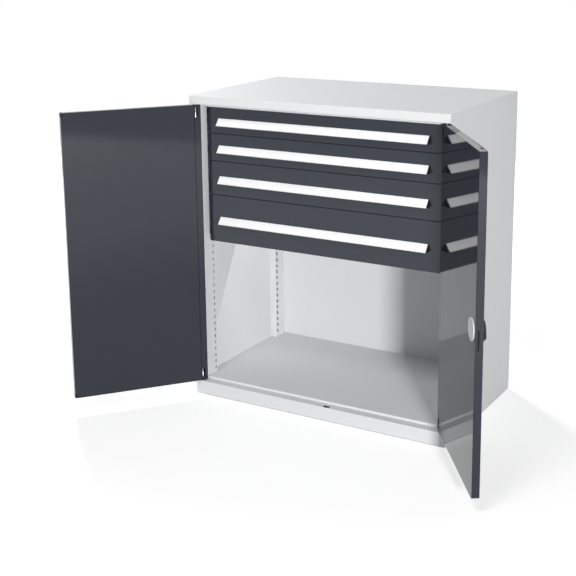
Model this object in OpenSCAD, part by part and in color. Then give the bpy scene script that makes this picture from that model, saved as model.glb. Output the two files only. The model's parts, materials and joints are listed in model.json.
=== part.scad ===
// Sheet-metal workshop cabinet: two hinged doors, four full-extension drawers and an
// open lower compartment. Millimetres, Z up, origin on the floor under the middle of
// the carcass, front towards -Y. Both doors are drawn open, the drawers closed.

/* [Carcass] */
// Width over the side panels
cab_w = 1000; // [900:10:1200]
// Depth from the door fronts to the rear
cab_d = 600; // [560:10:800]
// Height from the floor to the top face
cab_h = 1120; // [1080:10:1500]
// Thickness of the carcass sheet
sheet = 1.5; // [1:0.1:2]
// Height of the plinth
plinth_h = 50; // [35:1:100]
// Height of the top fascia
fascia_h = 30; // [25:1:50]
// Depth of the plinth's top ledge
ledge_d = 50; // [44:1:70]
// Rise of the floor above the ledge
floor_rise = 8; // [5:0.5:20]
// Width of the turned edges at the top and rear of the sides
flange_w = 20; // [12:1:22]
// Width of the turned edge under each side
anchor_flange = 45; // [35:1:60]
// Diameter of the floor anchor holes
anchor_hole_d = 11; // [7:0.5:14]
// Distance of the anchor holes from the front and the rear
anchor_end = 60; // [40:1:120]
// Diameter of the two wall fixing holes
wall_hole_d = 9; // [6:0.5:12]
// Distance between the wall fixing holes
wall_hole_span = 700; // [400:10:800]
// Distance of the wall fixing holes below the top
wall_hole_drop = 90; // [60:1:200]

/* [Uprights and rail] */
// Setback of the uprights behind the door fronts
recess = 36; // [35:1:42]
// Width of the upright's front face, side sheet included
upright_face = 25; // [20:1:28]
// Depth of each upright
upright_d = 68; // [50:1:90]
// Width of the shelf slots
slot_w = 9; // [6:0.5:12]
// Height of the shelf slots
slot_h = 12; // [8:1:16]
// Pitch of the shelf slots
slot_pitch = 25; // [20:1:50]
// Distance of the slot row from the upright's inner edge
slot_inset = 14; // [10:1:25]
// Height of the top rail that shows under the fascia
rail_show = 11.5; // [5:0.5:30]
// Depth of the top rail's folded edges
rail_fold = 22; // [10:1:22]

/* [Doors] */
// Thickness of each door
door_t = 25; // [24:1:28]
// Thickness of the door sheet
door_sheet = 1.2; // [0.8:0.1:1.5]
// Gap between each door and the carcass side plane
door_side_gap = 1; // [0.5:0.5:3]
// Gap between the closed doors
door_mid_gap = 4; // [2:0.5:8]
// Gap above and below each door
door_end_gap = 3; // [3:0.5:6]
// Width of the door's turned edge on the hinge side
door_flange = 24; // [23.5:0.5:40]
// Width of the seam beside the inner panel
door_seam = 1.2; // [0.3:0.1:2]
// Opening angle of the left door as drawn
left_open = 129; // [95:1:175]
// Opening angle of the right door as drawn
right_open = 125; // [95:1:175]

/* [Hinge pins] */
// Distance of the pivot from the door's hinge edge
pivot_in = 16.5; // [15:0.5:17]
// Diameter of the pins
pin_d = 8; // [5:0.5:9]
// Reach of each pin past the door's end
pin_reach = 12; // [9:0.5:20]
// Width of the finger pocket round each pin
pocket_w = 14; // [12:0.5:14]
// Height of the finger pocket
pocket_h = 37; // [25:1:60]
// Distance of the pocket from the door's end
pocket_end = 9; // [6:0.5:20]
// Wall of the pocket moulding
pocket_wall = 1.2; // [0.8:0.1:1.5]
// Wall of the plastic pivot bushes
bush_wall = 2; // [1.5:0.1:3]
// Thickness of the bush flanges
bush_flange = 1.2; // [0.8:0.1:2]
// Length of the bush below its flange
bush_len = 6; // [4:0.5:10]

/* [Door corner guides] */
// Width of the guide on the door face
guide_w = 10; // [8:0.5:14]
// Height of the guide on the door face
guide_h = 13; // [8:0.5:25]
// Depth of the guide into the door
guide_d = 16; // [10:0.5:20]
// Diameter of the guide's nub
nub_d = 7; // [4:0.5:8]
// Height of the nub past the door's end
nub_h = 2.5; // [1:0.1:2.6]

/* [Lock] */
// Height of the handle's axis above the floor
lock_z = 561; // [450:1:700]
// Distance of the handle's axis from the free edge
lock_in = 45; // [42:1:60]
// Radius of the cam's drive pins
cam_r = 14; // [13:0.5:14]
// Diameter of the cam's drive pins
drive_pin_d = 5; // [4:0.5:5]
// Thickness of the lock rods
rod_t = 3; // [2:0.5:3]
// Width of the lock rods
rod_w = 14; // [10:1:14]
// Depth of the rods inside the door, from its outer face
rod_depth = 6; // [5.5:0.5:6]
// Distance of the retracted rod tips inside the door's ends
rod_in = 2; // [1:0.5:5]
// Height of the latch blade
blade_h = 59; // [50:1:70]
// Height of the latch blade above the handle's axis
blade_up = 7; // [5:1:12]
// Thickness of the latch blade
blade_t = 4; // [3:0.5:5]
// Distance of the retracted blade inside the door's free edge
blade_in = 3; // [0:0.5:6]
// Width of the flare at the top of the blade's slot
flare_w = 10; // [6:0.5:12]
// Height of the flare at the top of the blade's slot
flare_h = 8; // [4:0.5:12]
// Thickness of the cam
cam_t = 3; // [2:0.5:3]
// Half width of the lock case
case_w = 34; // [30:1:38]
// Thickness of the lock case's plate
case_t = 1.5; // [1:0.1:2]
// Diameter of the light disc on the inner face
cover_d = 70; // [50:1:80]
// Thickness of the disc on the inner face
cover_t = 2.5; // [1:0.1:4]
// Diameter of the rose under the handle
rose_d = 78; // [60:1:84]
// Height of the rose
rose_h = 8; // [5:0.5:12]
// Height of the grip over the rose, at its key end
grip_h = 9; // [8:0.5:16]
// Diameter of the handle's neck
neck_d = 24; // [16:0.5:28]
// Diameter of the handle's spindle
spindle_d = 9; // [7:0.5:9.5]
// Diameter of the lock plug
plug_d = 16; // [12:0.5:18]
// Distance of the lock plug below the handle's axis
plug_drop = 18; // [12:0.5:18]
// Diameter of the screws that hold the rose
rose_screw_d = 5; // [3:0.5:6]
// Distance of the rose's screws from the handle's axis
rose_screw_r = 27; // [22:0.5:28]

/* [Drawers] */
// Height taken by the first drawer
drawer_1_h = 95; // [95:1:120]
// Height taken by the second drawer
drawer_2_h = 100; // [95:1:120]
// Height taken by the third drawer
drawer_3_h = 125; // [95:1:150]
// Height taken by the fourth drawer
drawer_4_h = 175; // [95:1:200]
// Gap between drawer fronts
front_gap = 2; // [1:0.5:4]
// Setback of the drawer fronts behind the door fronts
front_setback = 48; // [46:1:60]
// Margin between each side plane and the drawer fronts
front_margin = 45; // [42:1:55]
// Thickness of the drawer fronts
front_t = 20; // [12:1:24]
// Sheet thickness of the drawers
drawer_sheet = 1.2; // [0.8:0.1:1.5]
// Gap between the drawers' rear ends and the back panel
tray_rear_gap = 29; // [20:1:120]
// Height of the tray floor above the bottom of the front
tray_lift = 6; // [4:0.5:12]
// Distance of the tray's rim below the top of the front
tray_drop = 14; // [8:1:30]
// Width of the folded rim on the tray's sides
rim_w = 8; // [4:1:15]

/* [Handle strips] */
// Distance between the strip's ends and the ends of the front
strip_inset = 48; // [20:1:120]
// Distance that the strip stands out of the front
strip_out = 20; // [15:0.5:20]
// Drop of the sloping label face
strip_drop = 24; // [18:0.5:30]
// Wall of the strip
strip_t = 1.8; // [1.2:0.1:2]
// Height of the strip's top over the middle of the front
strip_rise = 6; // [0:0.5:12]
// Height of the lips that hold the label
lip_h = 1.2; // [1:0.1:2]
// Width of the lips that hold the label
lip_w = 1.5; // [1:0.1:3]
// Thickness of the label
label_t = 0.6; // [0.4:0.1:1]
// Thickness of the end caps
cap_t = 3; // [2:0.5:6]

/* [Runners] */
// Height of the runner's axis above the tray floor
runner_lift = 28; // [24:0.5:30]
// Height of the fixed runner
runner_h = 40; // [36:1:44]
// Thickness of the fixed and drawer members
runner_t = 2; // [1.2:0.1:2]
// Thickness of the middle member's tracks
track_t = 2; // [1.2:0.1:2]
// Running clearance between the members
runner_play = 0.4; // [0.3:0.1:0.6]

/* [Hidden] */
$fn = 48;
// clearance of a turning pin in its bore, on the radius
turn_clear = 0.05;
// clearance of a sliding part in its guide, each way
slide_clear = 0.3;
// clearance between the lock's stacked plates
plate_gap = 0.5;
// extra depth of a cut, so that it breaks through
through = 1;

side_in = cab_w / 2 - sheet;
front_y = -cab_d / 2;
rear_y = cab_d / 2;
recess_y = front_y + recess;
fascia_z = cab_h - fascia_h;
floor_z = plinth_h + floor_rise;
upright_x = cab_w / 2 - upright_face;
front_upright_y = recess_y + upright_d;
back_y = rear_y - 2 * sheet;
rear_upright_y = back_y - upright_d;
anchor_x = side_in - anchor_flange / 2;
anchor_y = cab_d / 2 - anchor_end;
rail_z = fascia_z - rail_show;
rail_y = recess_y + sheet;
// heights of the hidden folded edges of the fascia and the plinth, and of the floor's rear
turn_up_h = 13;
rear_turn_h = 26;

door_w = cab_w / 2 - door_side_gap - door_mid_gap / 2;
door_lo = plinth_h + door_end_gap;
door_hi = fascia_z - door_end_gap;
door_x = -cab_w / 2 + door_side_gap;
pivot_v = door_t / 2;
pivot_x = door_x + pivot_in;
pivot_y = front_y + pivot_v;
// the finger pocket lies a little off the pin, towards the inner panel
pocket_shift = 0.5;
pocket_u = pivot_in - pocket_w / 2 + pocket_shift;
pin_tail = 4;
pin_chamfer = 1;
nub_chamfer = 1;
bush_r = pin_d / 2 + turn_clear + bush_wall;
bush_hole_r = bush_r + turn_clear;
bush_rim = 2;

lock_u = door_w - lock_in;
drive_x = cam_r * cos(45);
lock_travel = 2 * drive_x;
cam_depth = rod_depth + rod_t + plate_gap;
blade_depth = cam_depth + cam_t + plate_gap;
// the drive pins' slots leave room for the arc that the pins travel on
drive_play = 0.7;
drive_slot = drive_pin_d + 2 * drive_play;
cam_edge = 2;
cam_plate_r = cam_r + drive_pin_d / 2 + cam_edge;
spindle_gap = 0.7;
foot_wall = 1.8;
foot_neck = 11;
foot_edge = 4;
foot_in = spindle_d / 2 + spindle_gap;
foot_out = cam_r + drive_slot / 2 + foot_wall;
foot_top = foot_out + foot_neck;
foot_cross = 8;
foot_end = drive_x + drive_slot / 2 + foot_edge;
rod_slot_play = 2;
rod_guide_h = 12;
rod_guide_wall = 6;
rod_guide_back = 3;
blade_lo = blade_up - blade_h;
blade_back = drive_x + drive_slot / 2 + foot_edge;
// vertical play of the blade in the left door's slot
strike_play = 1;
case_margin = 5;
cover_edge = 0.8;
cover_bevel = 1;
rose_taper = 3;
// grip: ring round the lock plug, rounded shoulders and a lower, narrower tail
grip_lo = rose_h + slide_clear;
grip_top = rose_h + grip_h;
grip_ring = 7;
grip_below = 6;
grip_shoulder = 3;
grip_tail_r = 10;
grip_tail_h = 5;
grip_tail_up = 17;
rose_screw_in = 6;
rose_screw_end = 0.5;
rose_screw_head_h = 2.4;
rose_screw_head_r = 4.5;
plug_floor = 1;
plug_sink = 0.2;
key_slot_w = 1.6;
key_slot_h = 8;
key_slot_d = 3;

drawer_heights = [drawer_1_h, drawer_2_h, drawer_3_h, drawer_4_h];
drawer_count = len(drawer_heights);
front_x = cab_w / 2 - front_margin;
front_face_y = front_y + front_setback;
front_back_y = front_face_y + front_t;
// what slides out passes beside the hinge corner of an open door, which reaches in this far
door_clear = 1.5;
corner_reach = norm([pivot_in, door_t - pivot_v]);
// widths across the nested runner members, from the uprights inwards
runner_step = 2;
runner_nest = 7;
track_lip = 4;
tray_gap = 1.5;
track_start = ceil(upright_x + pivot_x + corner_reach + door_clear);
track_web = track_start + runner_step;
member_start = track_web + track_t + runner_step;
track_end = member_start + runner_nest;
member_end = track_end + runner_t + tray_gap;
tray_x = upright_x - member_end;
// the trays and all runner members end in one plane, at the rear uprights
tray_back_y = back_y - tray_rear_gap;
runner_len = tray_back_y - front_back_y;
fixed_half = runner_h / 2;
track_half = fixed_half - runner_t - runner_play;
member_half = track_half - track_t - runner_play;
strip_x = front_x - strip_inset;
slope = atan2(strip_out - strip_t, strip_drop);
slope_len = norm([strip_out - strip_t, strip_drop]);

// top edge of drawer front k, counted from 0 at the top
function front_top(k, i = 0, z = 0) =
    i == k ? rail_z - front_gap - z : front_top(k, i + 1, z + drawer_heights[i]);
function front_h(k) = drawer_heights[k] - front_gap;
function front_lo(k) = front_top(k) - front_h(k);
function tray_lo(k) = front_lo(k) + tray_lift;
function tray_hi(k) = front_top(k) - tray_drop;
function runner_z(k) = tray_lo(k) + runner_lift;
function strip_top(k) = front_top(k) - front_h(k) / 2 + strip_rise;

light_grey = [0.84, 0.85, 0.85];
anthracite = [0.22, 0.24, 0.27];
black_plastic = [0.06, 0.06, 0.07];
zinc = [0.75, 0.76, 0.78];
aluminium = [0.8, 0.81, 0.82];
label_white = [0.95, 0.95, 0.94];

// a box from its lowest to its highest corner
module block(lo, hi) {
    translate(lo) cube(hi - lo);
}

module both_sides() {
    children();
    mirror([1, 0, 0]) children();
}

// an opening for a lock rod in the plinth ledge or the fascia lip, right door closed
module rod_opening(z) {
    rod_x = -door_x - lock_u;
    rod_y = front_y + rod_depth + rod_t / 2;
    translate([rod_x, rod_y, z + sheet / 2])
        cube([rod_w + 2 * rod_slot_play, rod_t + 2 * rod_slot_play, sheet + 2 * through],
            center = true);
}

module pivot_openings(z) {
    both_sides()
        translate([pivot_x, pivot_y, z - through]) cylinder(h = sheet + 2 * through, r = bush_hole_r);
}

// ---- carcass ----

// right-hand side: outer sheet, its turned edges and the step that the door fills
module side_panel() {
    color(light_grey) difference() {
        union() {
            block([side_in, front_y, 0], [cab_w / 2, rear_y, cab_h]);
            block([side_in - anchor_flange, front_y + sheet, 0], [side_in, rear_y, sheet]);
            block([side_in - flange_w, front_y + sheet, cab_h - 2 * sheet],
                [side_in, rear_y, cab_h - sheet]);
            block([side_in - flange_w, rear_y - sheet, 0], [side_in, rear_y, cab_h - sheet]);
        }
        block([side_in - through, front_y - through, plinth_h],
            [cab_w / 2 + through, recess_y, fascia_z]);
        for (y = [-anchor_y, anchor_y])
            translate([anchor_x, y, -through]) cylinder(h = sheet + 2 * through, d = anchor_hole_d);
    }
}

module side_left() {
    mirror([1, 0, 0]) side_panel();
}

module side_right() {
    side_panel();
}

module back_panel() {
    color(light_grey) difference() {
        block([-side_in, back_y, sheet], [side_in, back_y + sheet, cab_h - 2 * sheet]);
        both_sides()
            translate([wall_hole_span / 2, back_y - through, cab_h - wall_hole_drop])
                rotate([-90, 0, 0]) cylinder(h = sheet + 2 * through, d = wall_hole_d);
    }
}

// top sheet folded down to the fascia, in under it and up again
module top_panel() {
    color(light_grey) difference() {
        union() {
            block([-side_in, front_y, cab_h - sheet], [side_in, rear_y, cab_h]);
            block([-side_in, front_y, fascia_z], [side_in, front_y + sheet, cab_h - sheet]);
            block([-side_in, front_y, fascia_z], [side_in, recess_y + sheet, fascia_z + sheet]);
            block([-side_in, recess_y, fascia_z], [side_in, recess_y + sheet, fascia_z + turn_up_h]);
            block([flange_w - side_in, rear_y - sheet, cab_h - flange_w],
                [side_in - flange_w, rear_y, cab_h - sheet]);
        }
        pivot_openings(fascia_z);
        rod_opening(fascia_z);
    }
}

// folded rail behind the fascia; its lower part closes the gap over the first drawer
module top_rail() {
    color(light_grey) {
        block([-upright_x, rail_y, rail_z], [upright_x, rail_y + sheet, cab_h - sheet]);
        block([-upright_x, rail_y, rail_z], [upright_x, rail_y + rail_fold, rail_z + sheet]);
        block([-upright_x, rail_y, cab_h - 2 * sheet], [upright_x, rail_y + rail_fold, cab_h - sheet]);
    }
}

module plinth() {
    flange_x = side_in - anchor_flange;
    color(light_grey) difference() {
        union() {
            block([-side_in, front_y, 0], [side_in, front_y + sheet, plinth_h]);
            block([-side_in, front_y, plinth_h - sheet], [side_in, front_y + ledge_d, plinth_h]);
            block([-side_in, front_y + ledge_d - sheet, plinth_h - turn_up_h],
                [side_in, front_y + ledge_d, plinth_h]);
            block([-flange_x, front_y, 0], [flange_x, front_y + flange_w, sheet]);
        }
        pivot_openings(plinth_h - sheet);
        rod_opening(plinth_h - sheet);
    }
}

module floor_panel() {
    color(light_grey) {
        block([-side_in, front_upright_y, floor_z - sheet], [side_in, back_y, floor_z]);
        block([-upright_x, recess_y, floor_z - sheet], [upright_x, front_upright_y, floor_z]);
        block([-upright_x, recess_y, plinth_h], [upright_x, recess_y + sheet, floor_z]);
        block([-side_in, back_y - sheet, floor_z - rear_turn_h], [side_in, back_y, floor_z]);
    }
}

// slotted post of height h, against the right-hand side; its open edge lies at y = 0
module upright_post(h) {
    first = slot_pitch;
    rows = floor((h - 2 * first) / slot_pitch);
    difference() {
        union() {
            block([upright_x, 0, 0], [side_in, sheet, h]);
            block([upright_x, 0, 0], [upright_x + sheet, upright_d, h]);
            block([upright_x, upright_d - sheet, 0], [side_in, upright_d, h]);
        }
        for (row = [0 : rows])
            translate([upright_x + sheet / 2, upright_d - slot_inset, first + row * slot_pitch])
                cube([sheet + 2 * through, slot_w, slot_h], center = true);
    }
}

module front_uprights() {
    color(light_grey) both_sides()
        translate([0, recess_y, plinth_h]) upright_post(fascia_z - plinth_h);
}

module rear_uprights() {
    color(light_grey) both_sides()
        translate([0, back_y, floor_z]) mirror([0, 1, 0]) upright_post(cab_h - 2 * sheet - floor_z);
}

// one flanged bush with its flange's underside at z = 0
module pivot_bush() {
    difference() {
        union() {
            cylinder(h = bush_flange, r = bush_r + bush_rim);
            translate([0, 0, -bush_len]) cylinder(h = bush_len + bush_flange, r = bush_r);
        }
        translate([0, 0, -bush_len - through])
            cylinder(h = bush_len + bush_flange + 2 * through, r = pin_d / 2 + turn_clear);
    }
}

module pivot_bushes() {
    color(black_plastic) both_sides() {
        translate([pivot_x, pivot_y, plinth_h]) pivot_bush();
        translate([pivot_x, pivot_y, fascia_z]) mirror([0, 0, 1]) pivot_bush();
    }
}

// ---- doors ----

// door space: u from the hinge edge, v from the outer face, z from the floor;
// turned about the pivot by its opening angle
module hung(angle) {
    translate([pivot_x, pivot_y, 0]) rotate([0, 0, -angle])
        translate([-pivot_in, -pivot_v, 0]) children();
}

module on_left_door() {
    hung(left_open) children();
}

module on_right_door() {
    mirror([1, 0, 0]) hung(right_open) children();
}

// repeats its children at the door's bottom, drawn for the top end
module both_ends() {
    children();
    translate([0, 0, door_lo + door_hi]) mirror([0, 0, 1]) children();
}

module pocket_space() {
    block([pocket_u, door_sheet, door_hi - pocket_end - pocket_h],
        [pocket_u + pocket_w, door_t, door_hi - pocket_end]);
}

module corner_space() {
    block([door_w - guide_w, door_t - guide_d, door_hi - guide_h], [door_w, door_t, door_hi]);
}

// folded outer pan with a turned edge beside the hinge
module door_pan() {
    difference() {
        union() {
            difference() {
                block([0, 0, door_lo], [door_w, door_t, door_hi]);
                block([door_sheet, door_sheet, door_lo + door_sheet],
                    [door_w - door_sheet, door_t + through, door_hi - door_sheet]);
            }
            block([0, door_t - door_sheet, door_lo], [door_flange, door_t, door_hi]);
        }
        both_ends() {
            translate([0, through, 0]) pocket_space();
            translate([pivot_in, pivot_v, door_hi - door_sheet - through])
                cylinder(h = door_sheet + 2 * through, r = pin_d / 2 + turn_clear);
        }
    }
}

module door_liner() {
    difference() {
        block([door_flange + door_seam, door_t - door_sheet, door_lo + door_sheet],
            [door_w - door_sheet, door_t, door_hi - door_sheet]);
        both_ends() translate([0, through, 0]) pocket_space();
    }
}

module hinge_pins() {
    pin_bottom = door_hi - pocket_end - pocket_h - pin_tail;
    shank = door_hi + pin_reach - pin_chamfer - pin_bottom;
    color(zinc) both_ends()
        translate([pivot_in, pivot_v, pin_bottom]) {
            cylinder(h = shank, d = pin_d);
            translate([0, 0, shank])
                cylinder(h = pin_chamfer, d1 = pin_d, d2 = pin_d - 2 * pin_chamfer);
        }
}

module pin_pockets() {
    color(black_plastic) both_ends() difference() {
        pocket_space();
        block([pocket_u + pocket_wall, door_sheet + pocket_wall,
                door_hi - pocket_end - pocket_h + pocket_wall],
            [pocket_u + pocket_w - pocket_wall, door_t + through,
                door_hi - pocket_end - pocket_wall]);
        translate([pivot_in, pivot_v, door_hi - pocket_end - pocket_h - through])
            cylinder(h = pocket_h + 2 * through, r = pin_d / 2 + turn_clear);
    }
}

module left_door_shell() {
    color(anthracite) on_left_door() difference() {
        door_pan();
        both_ends() corner_space();
        block([door_w - door_sheet - through, blade_depth - slide_clear,
                lock_z + blade_lo - strike_play],
            [door_w + through, blade_depth + blade_t + slide_clear,
                lock_z + blade_up + strike_play]);
    }
}

module left_door_liner() {
    color(anthracite) on_left_door() difference() {
        door_liner();
        both_ends() corner_space();
    }
}

module left_corner_guides() {
    color(black_plastic) on_left_door() both_ends() {
        corner_space();
        translate([door_w - guide_w / 2, door_t - guide_d / 2, door_hi]) {
            cylinder(h = nub_h - nub_chamfer, d = nub_d);
            translate([0, 0, nub_h - nub_chamfer])
                cylinder(h = nub_chamfer, d1 = nub_d, d2 = nub_d - 2 * nub_chamfer);
        }
    }
}

// ---- lock, in the right door ----

module rod_guide_space() {
    half = rod_w / 2 + rod_guide_wall;
    block([lock_u - half, door_sheet, door_hi - rod_guide_h],
        [lock_u + half, rod_depth + rod_t + rod_guide_back, door_hi]);
}

// the blade with play p all round
module blade_space(p) {
    block([lock_u, blade_depth - p, lock_z + blade_lo - p],
        [door_w + through, blade_depth + blade_t + p, lock_z + blade_up + p]);
}

// flare at the top of the blade's slot, a V seen from the free edge
module slot_flare() {
    translate([door_w - door_sheet - through, blade_depth + blade_t / 2,
            lock_z + blade_up + slide_clear])
        rotate([90, 0, 90]) linear_extrude(height = door_sheet + 2 * through)
            polygon([[-flare_w / 2, 0], [flare_w / 2, 0], [0, -flare_h]]);
}

// bores for the rose's screws, from the depth start over a length, with radius r
module rose_bores(start, length, r) {
    for (side = [-1, 1])
        translate([lock_u + side * rose_screw_r, start, lock_z]) rotate([-90, 0, 0])
            cylinder(h = length, r = r, $fn = 24);
}

module right_door_shell() {
    color(anthracite) on_right_door() difference() {
        door_pan();
        both_ends() rod_guide_space();
        blade_space(slide_clear);
        slot_flare();
        rose_bores(-through, door_sheet + 2 * through, rose_screw_d / 2 + turn_clear);
        translate([lock_u, -through, lock_z]) rotate([-90, 0, 0])
            cylinder(h = door_sheet + 2 * through, r = neck_d / 2 + slide_clear);
    }
}

module right_door_liner() {
    color(anthracite) on_right_door() door_liner();
}

module rod_guides() {
    rod_side = rod_w / 2 + slide_clear;
    color(black_plastic) on_right_door() both_ends() difference() {
        rod_guide_space();
        block([lock_u - rod_side, rod_depth - slide_clear, door_hi - rod_guide_h - through],
            [lock_u + rod_side, rod_depth + rod_t + slide_clear, door_hi + through]);
    }
}

// plate on the outer sheet with two turned walls; the blade runs through one of them
module lock_case() {
    case_hi = foot_top + case_margin;
    case_lo = blade_lo - case_margin;
    color(zinc) on_right_door() difference() {
        translate([lock_u, 0, lock_z]) {
            block([-case_w, door_sheet, case_lo], [case_w, door_sheet + case_t, case_hi]);
            block([-case_w, door_sheet, case_lo], [case_t - case_w, door_t - door_sheet, case_hi]);
            block([case_w - case_t, door_sheet, case_lo], [case_w, door_t - door_sheet, case_hi]);
        }
        blade_space(slide_clear);
        rose_bores(0, door_sheet + case_t + through, rose_screw_d / 2 + turn_clear);
        translate([lock_u, 0, lock_z]) rotate([-90, 0, 0])
            cylinder(h = door_sheet + case_t + through, r = neck_d / 2 + slide_clear);
    }
}

// puts its children on the handle's axis, with z out of the door's outer face
module on_lock_axis(drop = 0) {
    on_right_door() translate([lock_u, 0, lock_z - drop]) rotate([90, 0, 0]) children();
}

module lock_cover() {
    color(light_grey) on_lock_axis() translate([0, 0, -door_t - cover_t]) {
        translate([0, 0, cover_edge]) cylinder(h = cover_t - cover_edge, d = cover_d);
        cylinder(h = cover_edge, d1 = cover_d - 2 * cover_bevel, d2 = cover_d);
    }
}

module handle_rose() {
    bore_end = rose_screw_in + rose_screw_end;
    color(black_plastic) difference() {
        on_lock_axis() difference() {
            union() {
                cylinder(h = rose_h / 2, d = rose_d);
                translate([0, 0, rose_h / 2])
                    cylinder(h = rose_h / 2, d1 = rose_d, d2 = rose_d - 2 * rose_taper);
            }
            translate([0, 0, -through])
                cylinder(h = rose_h + 2 * through, r = neck_d / 2 + turn_clear);
        }
        on_right_door()
            rose_bores(-bore_end, bore_end + door_sheet, rose_screw_d / 2 + turn_clear);
    }
}

// screws from inside the lock case into the rose
module rose_screws() {
    seat = door_sheet + case_t;
    color(zinc) on_right_door() {
        rose_bores(-rose_screw_in, rose_screw_in + seat, rose_screw_d / 2);
        rose_bores(seat, rose_screw_head_h, rose_screw_head_r);
    }
}

// one round end of the grip, with its shoulder
module grip_end(up, r, top) {
    translate([0, up, grip_lo]) {
        cylinder(h = top - grip_lo - grip_shoulder, r = r, $fn = 32);
        cylinder(h = top - grip_lo, r = r - grip_shoulder, $fn = 32);
    }
}

// grip, neck and spindle in one
module turn_handle() {
    color(black_plastic) on_lock_axis() difference() {
        union() {
            hull() {
                grip_end(-plug_drop - grip_below, plug_d / 2 + grip_ring, grip_top);
                grip_end(grip_tail_up, grip_tail_r, grip_lo + grip_tail_h);
            }
            translate([0, 0, -door_sheet - case_t])
                cylinder(h = grip_lo + door_sheet + case_t, d = neck_d);
            translate([0, 0, -cam_depth]) cylinder(h = cam_depth, d = spindle_d);
        }
        translate([0, -plug_drop, grip_lo + plug_floor])
            cylinder(h = grip_h + through, r = plug_d / 2 + turn_clear);
    }
}

module lock_plug() {
    plug_lo = grip_lo + plug_floor + slide_clear;
    plug_hi = grip_top - plug_sink;
    color(zinc) on_lock_axis(plug_drop) difference() {
        translate([0, 0, plug_lo]) cylinder(h = plug_hi - plug_lo, d = plug_d);
        translate([-key_slot_w / 2, -key_slot_h / 2, plug_hi - key_slot_d])
            cube([key_slot_w, key_slot_h, key_slot_d + through]);
    }
}

// cam disc with two drive pins for the rods in front and one for the blade behind
module lock_cam() {
    rod_pin_len = cam_depth - rod_depth;
    blade_pin_len = blade_depth + blade_t - cam_depth;
    color(zinc) on_lock_axis() translate([0, 0, -cam_depth]) {
        translate([0, 0, -cam_t]) cylinder(h = cam_t, r = cam_plate_r);
        for (angle = [-45, 135])
            rotate([0, 0, angle]) translate([cam_r, 0, 0])
                cylinder(h = rod_pin_len, d = drive_pin_d);
        rotate([0, 0, -135]) translate([cam_r, 0, -blade_pin_len])
            cylinder(h = blade_pin_len, d = drive_pin_d);
    }
}

// outline of a rod in the door's plane, from the cam's axis; its foot takes a drive pin
module rod_outline(length) {
    difference() {
        union() {
            translate([foot_in, -foot_end]) square([foot_out - foot_in, foot_end + foot_top]);
            translate([-rod_w / 2, foot_top - foot_cross])
                square([rod_w / 2 + foot_out, foot_cross]);
            translate([-rod_w / 2, foot_top - foot_cross])
                square([rod_w, length - foot_top + foot_cross]);
        }
        translate([drive_x - drive_slot / 2, -drive_x - drive_slot / 2])
            square([cam_r - drive_x + drive_slot, drive_slot]);
    }
}

module rod_plate(length) {
    translate([0, rod_depth + rod_t, 0]) rotate([90, 0, 0])
        linear_extrude(height = rod_t) rod_outline(length);
}

module lock_rod_top() {
    color(zinc) on_right_door()
        translate([lock_u, 0, lock_z]) rod_plate(door_hi - rod_in - lock_z);
}

module lock_rod_bottom() {
    color(zinc) on_right_door()
        translate([lock_u, 0, lock_z]) mirror([0, 0, 1]) mirror([1, 0, 0])
            rod_plate(lock_z - door_lo - rod_in);
}

module latch_blade() {
    color(black_plastic) on_right_door() difference() {
        block([lock_u - blade_back, blade_depth, lock_z + blade_lo],
            [door_w - blade_in, blade_depth + blade_t, lock_z + blade_up]);
        block([lock_u - drive_x - drive_slot / 2, blade_depth - through,
                lock_z - cam_r - drive_slot / 2],
            [lock_u - drive_x + drive_slot / 2, blade_depth + blade_t + through,
                lock_z - drive_x + drive_slot / 2]);
    }
}

// ---- drawers ----

module drawer_front(k) {
    color(anthracite) difference() {
        block([-front_x, front_face_y, front_lo(k)], [front_x, front_back_y, front_top(k)]);
        block([drawer_sheet - front_x, front_face_y + drawer_sheet, front_lo(k) + drawer_sheet],
            [front_x - drawer_sheet, front_back_y + through, front_top(k) - drawer_sheet]);
    }
}

module drawer_tray(k) {
    color(light_grey) {
        difference() {
            block([-tray_x, front_back_y, tray_lo(k)], [tray_x, tray_back_y, tray_hi(k)]);
            block([drawer_sheet - tray_x, front_back_y + drawer_sheet, tray_lo(k) + drawer_sheet],
                [tray_x - drawer_sheet, tray_back_y - drawer_sheet, tray_hi(k) + through]);
        }
        both_sides()
            block([tray_x - rim_w, front_back_y, tray_hi(k) - drawer_sheet],
                [tray_x, tray_back_y, tray_hi(k)]);
    }
}

// section of the strip: x outwards from the front's face, y up from the strip's top edge
module strip_section() {
    square([strip_t, strip_t]);
    translate([0, -strip_drop]) square([strip_t, strip_drop + strip_t]);
    translate([strip_t, strip_t]) rotate(slope) {
        translate([-strip_t, -slope_len - strip_t]) square([strip_t, slope_len + strip_t]);
        translate([-strip_t, -lip_w]) square([strip_t + lip_h, lip_w]);
        translate([-strip_t, -slope_len - strip_t]) square([strip_t + lip_h, lip_w]);
    }
}

module cap_section() {
    polygon([
        [0, strip_t],
        [strip_t + lip_h * cos(slope), strip_t],
        [strip_out, strip_t - strip_drop],
        [strip_out - strip_t, -strip_drop],
        [0, -strip_drop]
    ]);
}

// carries a section along the width of front k, over x from lo to hi
module along_front(k, lo, hi) {
    translate([hi, front_face_y, strip_top(k)]) rotate([90, 0, -90])
        linear_extrude(height = hi - lo) children();
}

module handle_strip(k) {
    color(aluminium) along_front(k, -strip_x, strip_x) strip_section();
}

module label(k) {
    color(label_white) along_front(k, -strip_x, strip_x)
        translate([strip_t, strip_t]) rotate(slope)
            translate([0, lip_w - slope_len - strip_t])
                square([label_t, slope_len + strip_t - 2 * lip_w]);
}

module strip_caps(k) {
    color(black_plastic) both_sides() along_front(k, strip_x, strip_x + cap_t) cap_section();
}

// ---- runners: three nested members on each side of a drawer ----

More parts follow.
